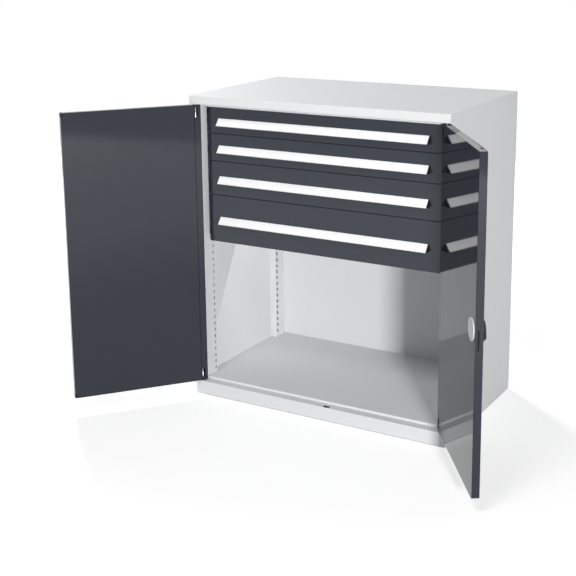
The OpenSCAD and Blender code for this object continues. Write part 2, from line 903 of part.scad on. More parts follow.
// a channel between distances near and far from the upright, open towards near or far,
// from behind the drawer front to y1
module channel(k, near, far, half, t, web_near, y1) {
    z = runner_z(k);
    web = web_near ? near : far - t;
    y0 = front_back_y;
    block([upright_x - far, y0, z + half - t], [upright_x - near, y1, z + half]);
    block([upright_x - far, y0, z - half], [upright_x - near, y1, z - half + t]);
    block([upright_x - web - t, y0, z - half], [upright_x - web, y1, z + half]);
}

module fixed_runner(k) {
    channel(k, 0, track_end - track_lip, fixed_half, runner_t, true, tray_back_y);
}

module fixed_runners() {
    for (k = [0 : drawer_count - 1]) fixed_runner(k);
}

module fixed_runners_left() {
    color(zinc) mirror([1, 0, 0]) fixed_runners();
}

module fixed_runners_right() {
    color(zinc) fixed_runners();
}

module mid_runners(k) {
    z = runner_z(k);
    y0 = front_back_y;
    y1 = front_back_y + runner_len;
    color(zinc) both_sides() {
        for (up = [-1, 1])
            translate([upright_x - track_end, y0, z + up * (track_half - track_t / 2) - track_t / 2])
                cube([track_end - track_start, runner_len, track_t]);
        block([upright_x - track_web - track_t, y0, z - track_half],
            [upright_x - track_web, y1, z + track_half]);
    }
}

module drawer_runners(k) {
    color(zinc) both_sides()
        channel(k, member_start, member_end, member_half, runner_t, false,
            front_back_y + runner_len);
}

side_left();
side_right();
back_panel();
top_panel();
top_rail();
plinth();
floor_panel();
front_uprights();
rear_uprights();
fixed_runners_left();
fixed_runners_right();
pivot_bushes();
left_door_shell();
left_door_liner();
on_left_door() hinge_pins();  // left_hinge_pins
on_left_door() pin_pockets();  // left_pin_pockets
left_corner_guides();
right_door_shell();
right_door_liner();
on_right_door() hinge_pins();  // right_hinge_pins
on_right_door() pin_pockets();  // right_pin_pockets
rod_guides();
lock_case();
lock_cover();
handle_rose();
rose_screws();
turn_handle();
lock_cam();
lock_plug();
lock_rod_top();
lock_rod_bottom();
latch_blade();
drawer_front(0);  // drawer_front_1
drawer_front(1);  // drawer_front_2
drawer_front(2);  // drawer_front_3
drawer_front(3);  // drawer_front_4
drawer_tray(0);  // drawer_tray_1
drawer_tray(1);  // drawer_tray_2
drawer_tray(2);  // drawer_tray_3
drawer_tray(3);  // drawer_tray_4
handle_strip(0);  // handle_strip_1
handle_strip(1);  // handle_strip_2
handle_strip(2);  // handle_strip_3
handle_strip(3);  // handle_strip_4
label(0);  // label_1
label(1);  // label_2
label(2);  // label_3
label(3);  // label_4
strip_caps(0);  // strip_caps_1
strip_caps(1);  // strip_caps_2
strip_caps(2);  // strip_caps_3
strip_caps(3);  // strip_caps_4
drawer_runners(0);  // drawer_runners_1
drawer_runners(1);  // drawer_runners_2
drawer_runners(2);  // drawer_runners_3
drawer_runners(3);  // drawer_runners_4
mid_runners(0);  // mid_runners_1
mid_runners(1);  // mid_runners_2
mid_runners(2);  // mid_runners_3
mid_runners(3);  // mid_runners_4
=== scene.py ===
"""Dresses the sheet-metal workshop cabinet: bends, paints, strips, labels, handle and stage."""

import json
import math

import bmesh
import bpy
import numpy as np
from mathutils import Euler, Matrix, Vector

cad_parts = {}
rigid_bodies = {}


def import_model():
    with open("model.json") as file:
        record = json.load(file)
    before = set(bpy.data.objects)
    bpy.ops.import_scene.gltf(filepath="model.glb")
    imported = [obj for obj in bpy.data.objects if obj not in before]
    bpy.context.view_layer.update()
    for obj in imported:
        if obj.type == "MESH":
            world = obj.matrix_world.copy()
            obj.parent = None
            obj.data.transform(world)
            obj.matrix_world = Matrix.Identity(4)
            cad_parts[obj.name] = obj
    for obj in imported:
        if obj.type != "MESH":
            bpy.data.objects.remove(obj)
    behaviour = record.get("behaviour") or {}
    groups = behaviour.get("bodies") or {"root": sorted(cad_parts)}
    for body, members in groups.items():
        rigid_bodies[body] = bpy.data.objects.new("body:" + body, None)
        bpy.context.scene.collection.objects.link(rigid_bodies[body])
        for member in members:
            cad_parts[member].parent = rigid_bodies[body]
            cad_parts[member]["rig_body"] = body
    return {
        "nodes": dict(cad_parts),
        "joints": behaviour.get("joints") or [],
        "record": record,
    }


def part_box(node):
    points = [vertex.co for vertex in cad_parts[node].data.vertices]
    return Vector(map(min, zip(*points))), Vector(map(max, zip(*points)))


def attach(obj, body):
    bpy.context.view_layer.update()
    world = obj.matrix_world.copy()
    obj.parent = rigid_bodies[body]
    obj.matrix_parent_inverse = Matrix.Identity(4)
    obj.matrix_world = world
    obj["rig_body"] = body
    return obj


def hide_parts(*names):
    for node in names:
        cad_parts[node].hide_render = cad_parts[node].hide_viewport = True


bl_info = {
    "name": "Workshop Cabinet",
    "version": (1, 0, 0),
    "blender": (4, 5, 0),
    "location": "3D View > Sidebar > Cabinet",
    "description": "Finishes a tool cabinet with hinged doors, drawers and a turn lock",
    "category": "Object",
}

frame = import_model()
NODES = frame["nodes"]
JOINTS = {joint["name"]: joint for joint in frame["joints"]}
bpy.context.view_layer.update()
DRAWERS = (1, 2, 3, 4)
UP = np.array((0.0, 0.0, 1.0))

# edges between faces at a wider angle than this stay sharp, on new pieces and on sheet
SHARP_PIECE = math.radians(32)
SHARP_SHEET = math.radians(20)
# faces with normals closer than this lie in one plane, and an edge turned by more is a fold
ONE_PLANE = 0.9999
FOLD_TURN = 0.6
# a strip of sheet narrower than this many fold radii is a cut edge
CUT_WIDTH = 1.5
# colour that the dust mask mixes in
DUST = (0.42, 0.40, 0.37, 1.0)


# ---- sizes and colours that a user would change ----


class CabinetPaints(bpy.types.PropertyGroup):
    carcass: bpy.props.FloatVectorProperty(
        name="Carcass",
        description="Light grey powder coat of the carcass",
        subtype="COLOR",
        default=(0.70, 0.715, 0.725),
    )
    doors: bpy.props.FloatVectorProperty(
        name="Doors",
        description="Glossy anthracite of both doors",
        subtype="COLOR",
        default=(0.018, 0.0225, 0.033),
    )
    drawers: bpy.props.FloatVectorProperty(
        name="Drawer fronts",
        description="Satin anthracite of the drawer fronts",
        subtype="COLOR",
        default=(0.021, 0.027, 0.038),
    )
    trays: bpy.props.FloatVectorProperty(
        name="Drawer trays",
        description="Light grey powder coat inside the drawers",
        subtype="COLOR",
        default=(0.62, 0.63, 0.635),
    )
    labels: bpy.props.FloatVectorProperty(
        name="Labels",
        description="White label card",
        subtype="COLOR",
        default=(0.88, 0.885, 0.885),
    )
    plastic: bpy.props.FloatVectorProperty(
        name="Black plastic",
        description="Moulded guides, caps and pockets",
        subtype="COLOR",
        default=(0.012, 0.012, 0.014),
    )
    cover: bpy.props.FloatVectorProperty(
        name="Lock cover",
        description="Light disc on the right door's inner face",
        subtype="COLOR",
        default=(0.88, 0.885, 0.885),
    )


class CabinetSheet(bpy.types.PropertyGroup):
    fold: bpy.props.FloatProperty(
        name="Fold radius",
        description="Outer radius of the bends in the sheet",
        default=0.0018,
        unit="LENGTH",
    )
    trim: bpy.props.FloatProperty(
        name="Cut edge",
        description="Rounding of the sheet's cut edges under the paint",
        default=0.00025,
        unit="LENGTH",
    )


class CabinetStrip(bpy.types.PropertyGroup):
    wall: bpy.props.FloatProperty(
        name="Wall",
        description="Thickness of the aluminium strip",
        default=0.0018,
        unit="LENGTH",
    )
    drop: bpy.props.FloatProperty(
        name="Drop",
        description="Height of the strip below its top corner",
        default=0.024,
        unit="LENGTH",
    )
    reach: bpy.props.FloatProperty(
        name="Reach",
        description="How far the sloping face stands out of the drawer front",
        default=0.020,
        unit="LENGTH",
    )
    lip: bpy.props.FloatProperty(
        name="Lip height",
        description="Height of the lips over the label",
        default=0.0012,
        unit="LENGTH",
    )
    lip_width: bpy.props.FloatProperty(
        name="Lip width",
        description="Width of the lips along the sloping face",
        default=0.0015,
        unit="LENGTH",
    )
    card: bpy.props.FloatProperty(
        name="Card",
        description="Thickness of the label card",
        default=0.0006,
        unit="LENGTH",
    )


class CabinetLock(bpy.types.PropertyGroup):
    neck: bpy.props.FloatProperty(
        name="Neck",
        description="Radius of the handle's neck",
        default=0.012,
        unit="LENGTH",
    )
    spindle: bpy.props.FloatProperty(
        name="Spindle",
        description="Radius of the handle's spindle",
        default=0.0045,
        unit="LENGTH",
    )
    rose: bpy.props.FloatProperty(
        name="Rose",
        description="Height of the rose under the handle",
        default=0.008,
        unit="LENGTH",
    )
    lift: bpy.props.FloatProperty(
        name="Lift",
        description="Gap between the rose and the grip",
        default=0.0003,
        unit="LENGTH",
    )
    grip: bpy.props.FloatProperty(
        name="Grip",
        description="Height of the grip over the rose at its key end",
        default=0.009,
        unit="LENGTH",
    )
    key_end: bpy.props.FloatProperty(
        name="Key end",
        description="Radius of the grip round the lock plug",
        default=0.015,
        unit="LENGTH",
    )
    key_drop: bpy.props.FloatProperty(
        name="Key end place",
        description="Distance of the grip's wide end under the lock plug",
        default=0.006,
        unit="LENGTH",
    )
    tail: bpy.props.FloatProperty(
        name="Tail",
        description="Radius of the grip's narrow end",
        default=0.010,
        unit="LENGTH",
    )
    tail_up: bpy.props.FloatProperty(
        name="Tail place",
        description="Distance of the narrow end over the axis",
        default=0.017,
        unit="LENGTH",
    )
    tail_height: bpy.props.FloatProperty(
        name="Tail height",
        description="Thickness of the grip's narrow end",
        default=0.005,
        unit="LENGTH",
    )
    shoulder: bpy.props.FloatProperty(
        name="Shoulder",
        description="Radius of the grip's rounded edge",
        default=0.0050,
        unit="LENGTH",
    )
    plug: bpy.props.FloatProperty(
        name="Plug bore",
        description="Radius of the bore for the lock plug",
        default=0.00805,
        unit="LENGTH",
    )
    door: bpy.props.FloatProperty(
        name="Door",
        description="Thickness of the door",
        default=0.025,
        unit="LENGTH",
    )
    cover: bpy.props.FloatProperty(
        name="Cover",
        description="Thickness of the disc on the inner face",
        default=0.0025,
        unit="LENGTH",
    )


class CabinetStage(bpy.types.PropertyGroup):
    place: bpy.props.FloatVectorProperty(
        name="Camera place",
        description="Where the camera stands",
        subtype="TRANSLATION",
        default=(1.906, -3.660, 1.678),
    )
    azimuth: bpy.props.FloatProperty(
        name="Azimuth",
        description="Camera heading round the cabinet, 0 from straight in front",
        subtype="ANGLE",
        default=math.radians(30.78),
    )
    pitch: bpy.props.FloatProperty(
        name="Pitch",
        description="How far the camera looks down",
        subtype="ANGLE",
        default=math.radians(12.41),
    )
    roll: bpy.props.FloatProperty(
        name="Roll",
        description="Turn of the camera about its own line of sight",
        subtype="ANGLE",
        default=math.radians(-0.69),
    )
    lens: bpy.props.FloatProperty(
        name="Lens",
        description="Focal length on a 36 mm sensor, in millimetres",
        default=73.0,
    )
    rise: bpy.props.FloatProperty(
        name="Lens shift",
        description="Vertical shift of the lens, in picture widths",
        default=-0.17,
    )
    floor: bpy.props.FloatVectorProperty(
        name="Floor",
        description="Colour of the floor",
        subtype="COLOR",
        default=(0.62, 0.62, 0.62),
    )
    lift: bpy.props.FloatProperty(
        name="Floor lift",
        description="Light added to the floor for the camera, beside the cabinet",
        default=0.57,
    )
    ambient: bpy.props.FloatProperty(
        name="Room light",
        description="Strength of the light from all round",
        default=0.15,
    )
    key: bpy.props.FloatProperty(
        name="Key lamp",
        description="Power of the lamp beside the camera",
        default=545.0,
        unit="POWER",
    )
    top: bpy.props.FloatProperty(
        name="Top lamp",
        description="Power of the lamp high in front",
        default=136.0,
        unit="POWER",
    )
    fill: bpy.props.FloatProperty(
        name="Fill lamp",
        description="Power of the lamp high behind the cabinet",
        default=430.0,
        unit="POWER",
    )


# ---- shapes ----


def rounded(points, radius, steps):
    """A closed outline with its corners rounded.

    Each corner becomes an arc of the given radius that touches both sides: its centre lies on the
    corner's bisector, and the radius shrinks where a side is too short to hold it.
    """
    p = np.asarray(points, float)
    back, ahead = np.roll(p, 1, 0) - p, np.roll(p, -1, 0) - p
    long_back = np.linalg.norm(back, axis=1)
    long_ahead = np.linalg.norm(ahead, axis=1)
    a, b = back / long_back[:, None], ahead / long_ahead[:, None]
    half = np.arccos(np.clip((a * b).sum(1), -1, 1)) / 2
    room = 0.45 * np.minimum(long_back, long_ahead)
    cut = np.minimum(np.broadcast_to(radius, len(p)) / np.tan(half), room)
    arc = cut * np.tan(half)
    bisector = a + b
    bisector /= np.linalg.norm(bisector, axis=1)[:, None]
    centre = p + bisector * (arc / np.sin(half))[:, None]
    turn = np.cross(a, b) > 0
    start = p + a * cut[:, None] - centre
    sweep = (np.pi - 2 * half) * np.where(turn, -1, 1)
    t = np.linspace(0, 1, steps + 1)
    angle = sweep[:, None] * t
    x = start[:, None, 0] * np.cos(angle) - start[:, None, 1] * np.sin(angle)
    y = start[:, None, 0] * np.sin(angle) + start[:, None, 1] * np.cos(angle)
    return (centre[:, None] + np.stack((x, y), -1)).reshape(-1, 2)


def skin(name, rings, caps=True):
    """A mesh over a grid of points rings[i, j]: each ring is closed on itself, and neighbouring
    rings are joined by quads. The first and last ring are closed by one face each."""
    rows, count = rings.shape[:2]
    i = np.arange(rows - 1)[:, None] * count
    j = np.arange(count)
    k = (j + 1) % count
    quads = np.stack((i + j, i + k, i + count + k, i + count + j), -1).reshape(-1, 4)
    faces = quads.tolist()
    if caps:
        faces.append(j[::-1].tolist())
        faces.append((j + (rows - 1) * count).tolist())
    mesh = bpy.data.meshes.new(name)
    mesh.from_pydata(rings.reshape(-1, 3), [], faces)
    return finished(name, mesh)


def finished(name, mesh):
    """Puts a mesh in the scene with its faces outwards and its flats flat."""
    bm = bmesh.new()
    bm.from_mesh(mesh)
    bmesh.ops.remove_doubles(bm, verts=bm.verts, dist=1e-7)
    bmesh.ops.recalc_face_normals(bm, faces=bm.faces)
    bm.to_mesh(mesh)
    bm.free()
    mesh.shade_smooth()
    mesh.set_sharp_from_angle(angle=SHARP_PIECE)
    thing = bpy.data.objects.new(name, mesh)
    bpy.context.scene.collection.objects.link(thing)
    return thing


def carried(name, outline, start, run, across, up):
    """An outline carried from start to start + run: point = end + x * across + y * up."""
    flat = outline[:, :1] * np.asarray(across) + outline[:, 1:] * np.asarray(up)
    ends = np.array((start, start + run))
    return skin(name, ends[:, None] + flat[None])


def across_axis(axis):
    """Two unit directions square to an axis and to each other."""
    axis = np.asarray(axis, float) / np.linalg.norm(axis)
    first = np.cross(axis, UP if abs(axis[2]) < 0.9 else (1.0, 0.0, 0.0))
    first /= np.linalg.norm(first)
    return first, np.cross(axis, first), axis


def turned(name, profile, base, axis, count=48, caps=True):
    """A revolved piece: ring j of radius r and height h is base + h * axis + r * (cos, sin)."""
    first, second, axis = across_axis(axis)
    r, h = np.asarray(profile, float).T
    angle = np.linspace(0, 2 * np.pi, count, endpoint=False)
    round_ = np.cos(angle)[:, None] * first + np.sin(angle)[:, None] * second
    rings = np.asarray(base) + h[:, None, None] * axis + r[:, None, None] * round_
    return skin(name, rings, caps)


def flat_widths(bm):
    """Mean width of the flat region that each face lies in: twice its area over its outline."""
    widths = {}
    for seed in bm.faces:
        if seed in widths:
            continue
        region, found, outline = [seed], {seed}, 0.0
        for face in region:
            for edge in face.edges:
                other = [f for f in edge.link_faces if f is not face]
                if other and other[0].normal.dot(seed.normal) > ONE_PLANE:
                    if other[0] not in found:
                        found.add(other[0])
                        region.append(other[0])
                else:
                    outline += edge.calc_length()
        width = 2 * sum(f.calc_area() for f in region) / outline
        widths.update((face, width) for face in region)
    return widths


def bent(node, name, fold, trim, steps=3):
    """A copy of a CAD node with its bends and cut edges rounded.

    A convex edge gets the fold radius where both flats beside it are wide, and the trim radius
    where one of them is a cut edge.
    """
    mesh = NODES[node].data.copy()
    bm = bmesh.new()
    bm.from_mesh(mesh)
    bmesh.ops.remove_doubles(bm, verts=bm.verts, dist=1e-6)
    widths = flat_widths(bm)
    weight = bm.edges.layers.float.new("bevel_weight_edge")
    for edge in bm.edges:
        if len(edge.link_faces) == 2 and edge.calc_face_angle_signed() > FOLD_TURN:
            wide = min(widths[f] for f in edge.link_faces) > CUT_WIDTH * fold
            edge[weight] = 1.0 if wide else trim / fold
    bm.to_mesh(mesh)
    bm.free()
    mesh.name = name
    mesh.shade_smooth()
    mesh.set_sharp_from_angle(angle=SHARP_SHEET)
    piece = bpy.data.objects.new(name, mesh)
    bpy.context.scene.collection.objects.link(piece)
    bevel = piece.modifiers.new("Bends", "BEVEL")
    bevel.limit_method = "WEIGHT"
    bevel.width = fold
    bevel.segments = steps
    bevel.use_clamp_overlap = False
    bevel.harden_normals = True
    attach(piece, NODES[node]["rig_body"])
    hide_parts(node)
    return piece


def box(node):
    low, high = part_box(node)
    return np.array(low), np.array(high)


# ---- finishes ----


def group(name, inputs, outputs):
    """An empty shader group with float inputs and outputs, and its two end nodes."""
    tree = bpy.data.node_groups.new(name, "ShaderNodeTree")
    for label, value in inputs:
        socket = tree.interface.new_socket(
            label, in_out="INPUT", socket_type="NodeSocketFloat"
        )
        socket.default_value = value
    for label in outputs:
        tree.interface.new_socket(
            label, in_out="OUTPUT", socket_type="NodeSocketFloat"
        )
    return tree, tree.nodes.new("NodeGroupInput"), tree.nodes.new("NodeGroupOutput")


def noise(tree, scale, detail=3.0, stretch=(1, 1, 1)):
    """A noise on object coordinates, stretched by a mapping. scale is a number or a socket."""
    coord = tree.nodes.new("ShaderNodeTexCoord")
    mapping = tree.nodes.new("ShaderNodeMapping")
    mapping.inputs["Scale"].default_value = stretch
    made = tree.nodes.new("ShaderNodeTexNoise")
    made.inputs["Detail"].default_value = detail
    tree.links.new(coord.outputs["Object"], mapping.inputs["Vector"])
    tree.links.new(mapping.outputs["Vector"], made.inputs["Vector"])
    if isinstance(scale, (int, float)):
        made.inputs["Scale"].default_value = scale
    else:
        tree.links.new(scale, made.inputs["Scale"])
    return made.outputs["Fac"]


def combine(tree, kind, *values):
    """A math node over sockets or numbers."""
    made = tree.nodes.new("ShaderNodeMath")
    made.operation = kind
    for slot, value in zip(made.inputs, values):
        if isinstance(value, (int, float)):
            slot.default_value = value
        else:
            tree.links.new(value, slot)
    return made.outputs[0]


def powder_group():
    """Powder coat: a fine grain on long waves for the height, and a faint mottle of its tone."""
    tree, given, out = group(
        "Powder Coat",
        (("Peel Scale", 420.0), ("Grain", 0.3), ("Mottle", 0.5)),
        ("Height", "Tone", "Gloss"),
    )
    peel = noise(tree, given.outputs["Peel Scale"], 2.0)
    fine = noise(tree, 2600.0, 1.0)
    height = combine(tree, "MULTIPLY_ADD", fine, given.outputs["Grain"], peel)
    cloud = combine(tree, "SUBTRACT", noise(tree, 3.1, 4.0), 0.5)
    speck = combine(tree, "SUBTRACT", noise(tree, 160.0, 2.0), 0.5)
    tone = combine(tree, "MULTIPLY_ADD", speck, 0.5, cloud)
    tone = combine(tree, "MULTIPLY", tone, given.outputs["Mottle"])
    gloss = combine(tree, "SUBTRACT", noise(tree, 9.0, 5.0), 0.5)
    tree.links.new(height, out.inputs["Height"])
    tree.links.new(tone, out.inputs["Tone"])
    tree.links.new(gloss, out.inputs["Gloss"])
    return tree


def dust_group():
    """Dust and scuffs: lies on faces that look up, and thickens towards the floor."""
    tree, given, out = group(
        "Workshop Dust", (("Amount", 0.1), ("Floor Height", 0.06)), ("Mask",)
    )
    geometry = tree.nodes.new("ShaderNodeNewGeometry")
    facing = tree.nodes.new("ShaderNodeSeparateXYZ")
    tree.links.new(geometry.outputs["Normal"], facing.inputs[0])
    upward = combine(tree, "MAXIMUM", facing.outputs["Z"], 0.0)
    coord = tree.nodes.new("ShaderNodeTexCoord")
    place = tree.nodes.new("ShaderNodeSeparateXYZ")
    tree.links.new(coord.outputs["Object"], place.inputs[0])
    low = combine(tree, "DIVIDE", place.outputs["Z"], given.outputs["Floor Height"])
    low = combine(tree, "SUBTRACT", 1.0, low)
    low = combine(tree, "MAXIMUM", low, 0.0)
    spread = combine(tree, "ADD", combine(tree, "MULTIPLY", upward, 0.35), low)
    patch = combine(tree, "POWER", noise(tree, 14.0, 6.0), 2.0)
    mask = combine(tree, "MULTIPLY", spread, patch)
    mask = combine(tree, "MULTIPLY", mask, given.outputs["Amount"])
    tree.links.new(mask, out.inputs["Mask"])
    return tree


def grain_group():
    """Streaks along the width for drawn or brushed metal, with a height and a tone."""
    tree, given, out = group(
        "Drawn Grain", (("Fineness", 900.0),), ("Height", "Tone")
    )
    streak = noise(tree, given.outputs["Fineness"], 3.0, (0.01, 1.0, 1.0))
    cloud = noise(tree, 40.0, 2.0, (0.2, 1.0, 1.0))
    tone = combine(tree, "SUBTRACT", combine(tree, "MULTIPLY_ADD", cloud, 0.5, streak), 0.75)
    tree.links.new(streak, out.inputs["Height"])
    tree.links.new(tone, out.inputs["Tone"])
    return tree


def spangle_group():
    """Zinc: cells of slightly different brightness, and fine scratches."""
    tree, given, out = group(
        "Zinc Spangle", (("Cells", 260.0),), ("Height", "Tone")
    )
    coord = tree.nodes.new("ShaderNodeTexCoord")
    cells = tree.nodes.new("ShaderNodeTexVoronoi")
    tree.links.new(coord.outputs["Object"], cells.inputs["Vector"])
    tree.links.new(given.outputs["Cells"], cells.inputs["Scale"])
    shade = tree.nodes.new("ShaderNodeSeparateColor")
    tree.links.new(cells.outputs["Color"], shade.inputs[0])
    tone = combine(tree, "SUBTRACT", shade.outputs["Red"], 0.5)
    tree.links.new(noise(tree, 700.0, 4.0), out.inputs["Height"])
    tree.links.new(tone, out.inputs["Tone"])
    return tree


class Finish:
    """One material: its Principled shader, and helpers that vary its colour and roughness."""

    def __init__(self, name, colour, roughness, metallic=0.0):
        self.material = bpy.data.materials.new(name)
        self.material.use_nodes = True
        self.tree = self.material.node_tree
        self.shader = self.tree.nodes["Principled BSDF"]
        self.shader.inputs["Metallic"].default_value = metallic
        self.shader.inputs["Roughness"].default_value = roughness
        self.colour = (*colour, 1.0)
        self.roughness = roughness
        self.shader.inputs["Base Color"].default_value = self.colour

    def effect(self, tree, **values):
        node = self.tree.nodes.new("ShaderNodeGroup")
        node.node_tree = tree
        for label, value in values.items():
            node.inputs[label.replace("_", " ")].default_value = value
        return node.outputs

    def tint(self, tone, amount, mask=None):
        """Base Color = colour * (1 + amount * tone), mixed towards dust by the mask."""
        scale = self.tree.nodes.new("ShaderNodeVectorMath")
        scale.operation = "SCALE"
        scale.inputs[0].default_value = self.colour[:3]
        bright = combine(self.tree, "MULTIPLY_ADD", tone, amount, 1.0)
        self.tree.links.new(bright, scale.inputs["Scale"])
        colour = scale.outputs[0]
        if mask is not None:
            mix = self.tree.nodes.new("ShaderNodeMix")
            mix.data_type = "RGBA"
            mix.inputs["B"].default_value = DUST
            self.tree.links.new(mask, mix.inputs["Factor"])
            self.tree.links.new(colour, mix.inputs["A"])
            colour = mix.outputs["Result"]
        self.tree.links.new(colour, self.shader.inputs["Base Color"])

    def sheen(self, value, amount):
        """Roughness = roughness + amount * value."""
        rough = combine(self.tree, "MULTIPLY_ADD", value, amount, self.roughness)
        self.tree.links.new(rough, self.shader.inputs["Roughness"])

    def relief(self, height, depth):
        bump = self.tree.nodes.new("ShaderNodeBump")
        bump.inputs["Strength"].default_value = 1.0
        bump.inputs["Distance"].default_value = depth
        self.tree.links.new(height, bump.inputs["Height"])
        self.tree.links.new(bump.outputs["Normal"], self.shader.inputs["Normal"])


def painted(name, colour, roughness, level, peel, mottle, dust):
    """Powder coat on sheet. level is the specular level, peel the depth of its orange peel."""
    made = Finish(name, colour, roughness)
    made.shader.inputs["Specular IOR Level"].default_value = level
    coat = made.effect(EFFECTS["powder"], Mottle=mottle)
    dirt = made.effect(EFFECTS["dust"], Amount=dust)
    made.tint(coat["Tone"], 1.0, dirt["Mask"])
    made.sheen(coat["Gloss"], roughness * 0.12)
    made.relief(coat["Height"], peel)
    return made.material


def metal(name, colour, roughness, effect, tone, depth):
    """Bare metal. tone is how far its marks change the colour, depth their height."""
    made = Finish(name, colour, roughness, 1.0)
    marks = made.effect(EFFECTS[effect])
    made.tint(marks["Tone"], tone)
    made.sheen(marks["Tone"], roughness * 0.25)
    made.relief(marks["Height"], depth)
    return made.material


def moulded(name, colour, roughness, level, depth):
    """Moulded plastic with a fine spark-eroded grain. level is the specular level."""
    made = Finish(name, colour, roughness)
    made.shader.inputs["Specular IOR Level"].default_value = level
    coat = made.effect(EFFECTS["powder"], Peel_Scale=1500.0, Grain=0.8, Mottle=0.25)
    made.tint(coat["Tone"], 1.0)
    made.sheen(coat["Gloss"], 0.25)
    made.relief(coat["Height"], depth)
    return made.material


EFFECTS = {}
PAINTS = {}


class CABINET_OT_finishes(bpy.types.Operator):
    """Builds the paints, metals and plastics and puts them on the CAD nodes"""

    bl_idname = "cabinet.finishes"
    bl_label = "Finishes"

    def execute(self, context):
        paints = context.scene.cabinet_paints
        EFFECTS.update(
            powder=powder_group(),
            dust=dust_group(),
            grain=grain_group(),
            spangle=spangle_group(),
        )
        PAINTS.update(
            carcass_paint=painted(
                "Carcass Grey",
                paints.carcass,
                roughness=0.55,
                level=0.25,
                peel=0.00002,
                mottle=0.03,
                dust=0.07,
            ),
            door_paint=painted(
                "Door Anthracite",
                paints.doors,
                roughness=0.06,
                level=0.36,
                peel=0.0000012,
                mottle=0.10,
                dust=0.02,
            ),
            drawer_paint=painted(
                "Drawer Anthracite",
                paints.drawers,
                roughness=0.16,
                level=0.38,
                peel=0.000003,
                mottle=0.12,
                dust=0.03,
            ),
            tray_paint=painted(
                "Tray Grey",
                paints.trays,
                roughness=0.5,
                level=0.3,
                peel=0.00002,
                mottle=0.04,
                dust=0.06,
            ),
            zinc=metal(
                "Bright Zinc",
                (0.62, 0.63, 0.65),
                roughness=0.36,
                effect="spangle",
                tone=0.12,
                depth=0.000001,
            ),
            strip_aluminium=metal(
                "Anodised Aluminium",
                (0.78, 0.79, 0.80),
                roughness=0.32,
                effect="grain",
                tone=0.2,
                depth=0.00001,
            ),
            label_card=moulded(
                "Label Card", paints.labels, roughness=0.5, level=0.3, depth=0.000004
            ),
            black_plastic=moulded(
                "Black Plastic", paints.plastic, roughness=0.5, level=0.16, depth=0.00001
            ),
            handle_metal=moulded(
                "Handle Black", paints.plastic, roughness=0.34, level=0.16, depth=0.00001
            ),
            cover_plastic=moulded(
                "Cover Plastic", paints.cover, roughness=0.5, level=0.3, depth=0.00001
            ),
        )
        slots = {part["node"]: part["material_slot"] for part in frame["record"]["subparts"]}
        for name, thing in NODES.items():
            dress(thing, slots[name])
        return {"FINISHED"}


def dress(piece, slot):
    """Gives a piece the finish of a material slot."""
    piece.data.materials.clear()
    piece.data.materials.append(PAINTS[slot])
    return piece


def stands_for(piece, slot, body, *nodes):
    """Gives a new piece its finish and its body, and hides the CAD nodes that it stands for."""
    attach(dress(piece, slot), body)
    if nodes:
        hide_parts(*nodes)


# ---- carcass ----


class CABINET_OT_carcass(bpy.types.Operator):
    """Rounds the bends of the carcass sheets, and the edges of the runners and of the door pivot
    bushes
    """

    bl_idname = "cabinet.carcass"
    bl_label = "Carcass"

    def execute(self, context):
        sheet = context.scene.cabinet_sheet
        for node in (
            "side_left",
            "side_right",
            "top_panel",
            "plinth",
            "floor_panel",
            "back_panel",
            "top_rail",
            "front_uprights",
            "rear_uprights",
        ):
            dress(bent(node, node + "_sheet", sheet.fold, sheet.trim), "carcass_paint")
        for side in ("left", "right"):
            node = f"fixed_runners_{side}"
            dress(bent(node, f"outer_rails_{side}", 0.0012, sheet.trim), "zinc")
        dress(bent("pivot_bushes", "bush_rings", 0.0004, 0.0002), "black_plastic")
        self.insert()
        return {"FINISHED"}

    def insert(self):
        """Black frame round the lock rod's opening in the ledge. Its black also stands in for the
        shade inside the opening: painted shade.

        The opening's corners are the plinth's vertices near the middle of the ledge. Each row
        gives an offset from the opening's outline and a height over the ledge: up the flange,
        over its top, down through the opening and up its wall.
        """
        flange, height, edge, lip, skirt, gap = 0.0022, 0.0012, 0.0003, 0.0003, 0.0025, 0.00005
        co = np.array([v.co for v in NODES["plinth"].data.vertices])
        level = co[:, 2].max()
        corners = co[(np.abs(co[:, 2] - level) < 1e-5) & (np.abs(co[:, 0]) < 0.1)]
        low, high = corners.min(0), corners.max(0)
        middle, half = (low + high) / 2, (high - low)[:2] / 2
        rows = (
            (flange, gap),
            (flange, height - edge),
            (flange - edge, height),
            (0.0001, height),
            (-lip, height - edge),
            (-lip, -skirt),
            (-gap, -skirt),
            (-gap, gap),
            (flange, gap),
        )
        signs = np.array(((-1, -1), (1, -1), (1, 1), (-1, 1)))
        plans = [rounded(signs * (half + out), 0.0012, 3) for out, up in rows]
        rings = [np.c_[plan, np.full(len(plan), up)] for plan, (out, up) in zip(plans, rows)]
        # black frame whose dark is painted shade for the rod's opening
        ring = skin("rod_frame", np.array(rings) + middle, False)
        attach(dress(ring, "black_plastic"), NODES["plinth"]["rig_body"])


# ---- doors ----


